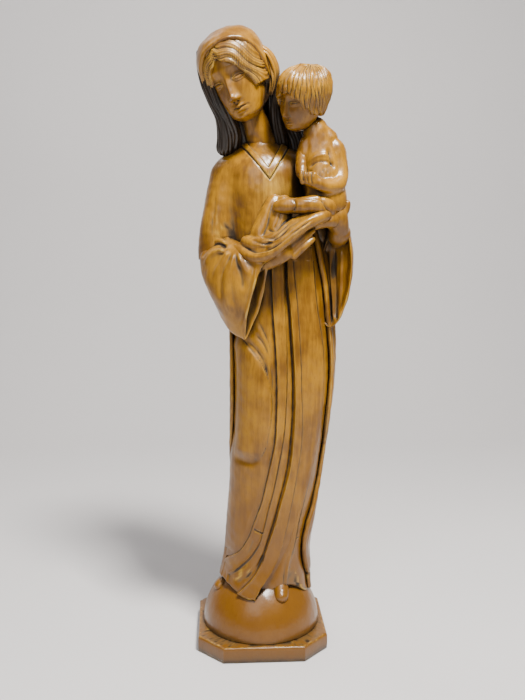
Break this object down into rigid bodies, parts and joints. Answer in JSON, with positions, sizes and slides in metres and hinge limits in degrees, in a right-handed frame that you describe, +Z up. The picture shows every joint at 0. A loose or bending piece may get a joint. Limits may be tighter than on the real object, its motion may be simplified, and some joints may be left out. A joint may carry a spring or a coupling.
{
  "type": "madonna statue",
  "caption": "Standing carved wooden madonna in a long pleated gown and veil, holding a child on her left arm, on a half globe and an eight-sided plinth",
  "frame": {"origin": "Middle of the plinth's underside", "axes": "+Z up along the figure, -Y is the front that the figure faces, +X is the side that the child is on"},
  "size_m": [0.1571, 0.1305, 0.6098],
  "materials": {
    "carved_wood": "golden-brown stain under worn wax, satin, dark in the hollows",
    "hair_wood": "dark brown stain under wax, satin",
    "base_wood": "reddish brown stain under worn wax, satin",
    "dowel_wood": "bare beech, matt",
    "screw_steel": "zinc plated"
  },
  "bodies": {
    "root": {"plinth": "base_wood", "globe": "base_wood", "base_screws": "screw_steel", "globe_dowels": "dowel_wood", "shoes": "carved_wood", "skirt": "carved_wood", "mantle": "carved_wood", "waist_dowels": "dowel_wood", "bodice": "carved_wood", "shoulder_dowels": "dowel_wood", "right_sleeve": "carved_wood", "left_sleeve": "carved_wood", "right_hand": "carved_wood", "left_hand": "carved_wood", "neck_dowel": "dowel_wood", "head": "carved_wood", "hair": "hair_wood", "veil": "carved_wood", "drape": "carved_wood", "child_dowels": "dowel_wood", "child_body": "carved_wood", "child_head": "carved_wood", "child_left_arm": "carved_wood", "child_right_arm": "carved_wood", "child_legs": "carved_wood"}
  },
  "joints": []
}
